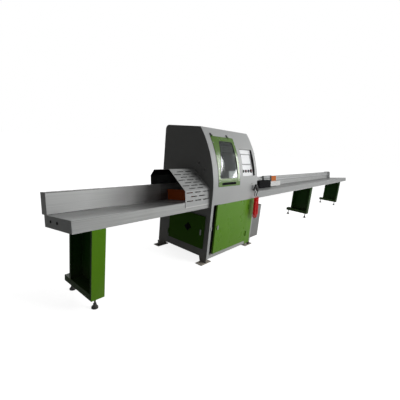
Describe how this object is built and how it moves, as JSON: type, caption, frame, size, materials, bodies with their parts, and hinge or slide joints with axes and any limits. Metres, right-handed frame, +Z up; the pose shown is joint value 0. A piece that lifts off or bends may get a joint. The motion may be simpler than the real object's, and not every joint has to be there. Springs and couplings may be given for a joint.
{
  "type": "pallet block cutoff saw",
  "caption": "Floor-standing cutoff saw for pallet blocks: a curved cabinet with an up-stroke blade, a pusher-fed infeed table, a hooded outfeed table and a curly air hose.",
  "frame": {"origin": "on the floor, at the centre of the cabinet's anchor holes", "axes": "+X along the feed line, from the outfeed end to the infeed end; +Y from the operator's side to the back; +Z up"},
  "size_m": [9.14, 1.074, 1.72],
  "materials": {
    "gray_paint": "satin",
    "charcoal_paint": "satin",
    "green_paint": "gloss",
    "orange_paint": "satin",
    "bare_steel": "brushed",
    "bright_steel": "polished",
    "black_steel": "satin",
    "aluminium": "satin",
    "gray_aluminium": "satin",
    "iron": "matte",
    "black_plastic": "matte",
    "gray_plastic": "matte",
    "white_plastic": "gloss",
    "smoked_pane": "gloss",
    "screen": "gloss",
    "green_button": "gloss",
    "red_button": "gloss",
    "blue_button": "gloss",
    "red_hose": "gloss",
    "belt_rubber": "matte"
  },
  "bodies": {
    "machine": {"air_gun": "black_plastic", "air_hose": "red_hose", "cabinet_back": "gray_paint", "cabinet_frame": "gray_paint", "cabinet_left_side": "charcoal_paint", "cabinet_right_side": "charcoal_paint", "cabinet_shell": "gray_paint", "clamp_cylinder": "aluminium", "control_box": "gray_paint", "control_panel": "white_plastic", "dust_chute": "gray_paint", "electrical_modules": "gray_plastic", "feed_cylinder": "aluminium", "feed_rail": "bare_steel", "front_frame": "gray_paint", "gun_hook": "bare_steel", "hinge_pins": "black_steel", "hood": "gray_paint", "hose_tails": "black_plastic", "infeed_fence": "bare_steel", "infeed_legs": "green_paint", "infeed_table": "bare_steel", "leveling_feet": "bare_steel", "lift_cylinder": "aluminium", "outfeed_fence": "bare_steel", "outfeed_leg": "green_paint", "outfeed_table": "bare_steel", "pivot_blocks": "iron", "rail_end_bracket": "bare_steel", "saw_bed": "bare_steel", "service_box": "gray_paint", "touch_screen": "screen"},
    "hatch": {"hatch_frame": "green_paint", "hatch_pane": "smoked_pane", "hatch_handle": "black_plastic"},
    "door": {"front_door": "green_paint"},
    "latch": {"door_latch": "bright_steel"},
    "electrical_door": {"side_door": "green_paint"},
    "isolator": {"isolator_switch": "black_plastic"},
    "start_cap": {"start_button": "green_button"},
    "stop_cap": {"stop_button": "red_button"},
    "reset_cap": {"reset_button": "blue_button"},
    "stop_mushroom": {"emergency_stop": "red_button"},
    "flap": {"outfeed_flap": "orange_paint"},
    "arm": {"saw_arm": "iron", "saw_motor": "gray_aluminium", "drive_belt": "belt_rubber", "arbor_bearings": "bare_steel"},
    "spindle": {"arbor": "bare_steel", "saw_blade": "bare_steel", "blade_clamp": "bare_steel", "arbor_pulley": "iron"},
    "motor_shaft": {"motor_pulley": "iron"},
    "piston": {"lift_rod": "bare_steel"},
    "clamp": {"clamp_pad": "gray_aluminium"},
    "carriage": {"feed_carriage": "gray_aluminium", "drive_cover": "orange_paint", "pusher_nose": "black_plastic", "pusher_housing": "white_plastic"},
    "trigger": {"gun_trigger": "black_plastic"}
  },
  "joints": [
    {"name": "hatch_hinge", "type": "hinge", "parent": "machine", "child": "hatch", "pos_m": [0, -0.24009, 1.628], "axis": [-1, 0, 0], "range_deg": [0, 75]},
    {"name": "door_hinge", "type": "hinge", "parent": "machine", "child": "door", "pos_m": [0.38075, -0.463, 0.44], "axis": [0, 0, 1], "range_deg": [0, 95]},
    {"name": "latch_turn", "type": "hinge", "parent": "door", "child": "latch", "pos_m": [-0.388, -0.455, 0.467], "axis": [0, -1, 0], "range_deg": [0, 90]},
    {"name": "electrical_door_hinge", "type": "hinge", "parent": "machine", "child": "electrical_door", "pos_m": [-0.58, 0.243, 0.4], "axis": [0, 0, -1], "range_deg": [0, 110]},
    {"name": "isolator_turn", "type": "hinge", "parent": "electrical_door", "child": "isolator", "pos_m": [-0.574, -0.114, 0.422], "axis": [-1, 0, 0], "range_deg": [0, 90]},
    {"name": "start_press", "type": "slide", "parent": "machine", "child": "start_cap", "axis": [0, 0.9484, -0.317], "range_m": [0, 0.0035], "stiffness_N_per_m": 800, "springref_m": -0.002},
    {"name": "stop_press", "type": "slide", "parent": "machine", "child": "stop_cap", "axis": [0, 0.9484, -0.317], "range_m": [0, 0.0035], "stiffness_N_per_m": 800, "springref_m": -0.002},
    {"name": "reset_press", "type": "slide", "parent": "machine", "child": "reset_cap", "axis": [0, 0.9484, -0.317], "range_m": [0, 0.0035], "stiffness_N_per_m": 800, "springref_m": -0.002},
    {"name": "emergency_press", "type": "slide", "parent": "machine", "child": "stop_mushroom", "axis": [0, 0.9484, -0.317], "range_m": [0, 0.0035], "stiffness_N_per_m": 2000, "springref_m": -0.002},
    {"name": "flap_hinge", "type": "hinge", "parent": "machine", "child": "flap", "pos_m": [-0.834, -0.1598, 0.9348], "axis": [0, 0.989, -0.1478], "range_deg": [0, 80]},
    {"name": "arm_swing", "type": "hinge", "parent": "machine", "child": "arm", "pos_m": [0.09, 0.18, 0.43], "axis": [-1, 0, 0], "range_deg": [0, 20]},
    {"name": "blade_spin", "type": "hinge", "parent": "arm", "child": "spindle", "pos_m": [0, -0.175, 0.576], "axis": [1, 0, 0], "continuous": true},
    {"name": "motor_spin", "type": "hinge", "parent": "arm", "child": "motor_shaft", "pos_m": [0.195, 0.24, 0.6], "axis": [1, 0, 0], "continuous": true},
    {"name": "lift_slide", "type": "slide", "parent": "machine", "child": "piston", "axis": [0, 0, 1], "range_m": [0, 0.069]},
    {"name": "clamp_slide", "type": "slide", "parent": "machine", "child": "clamp", "axis": [0, -0.1478, -0.989], "range_m": [0, 0.2]},
    {"name": "feed_slide", "type": "slide", "parent": "machine", "child": "carriage", "axis": [1, 0, 0], "range_m": [-1.15, 4]},
    {"name": "trigger_squeeze", "type": "hinge", "parent": "machine", "child": "trigger", "pos_m": [0.46632, -0.5, 0.98428], "axis": [0, 1, 0], "range_deg": [0, 7], "stiffness_Nm_per_rad": 0.8, "springref_deg": -5.73}
  ],
  "couplings": [
    {"joint": "motor_spin", "follows": "blade_spin", "ratio": 1},
    {"joint": "lift_slide", "follows": "arm_swing", "m_per_rad": 0.19538}
  ]
}
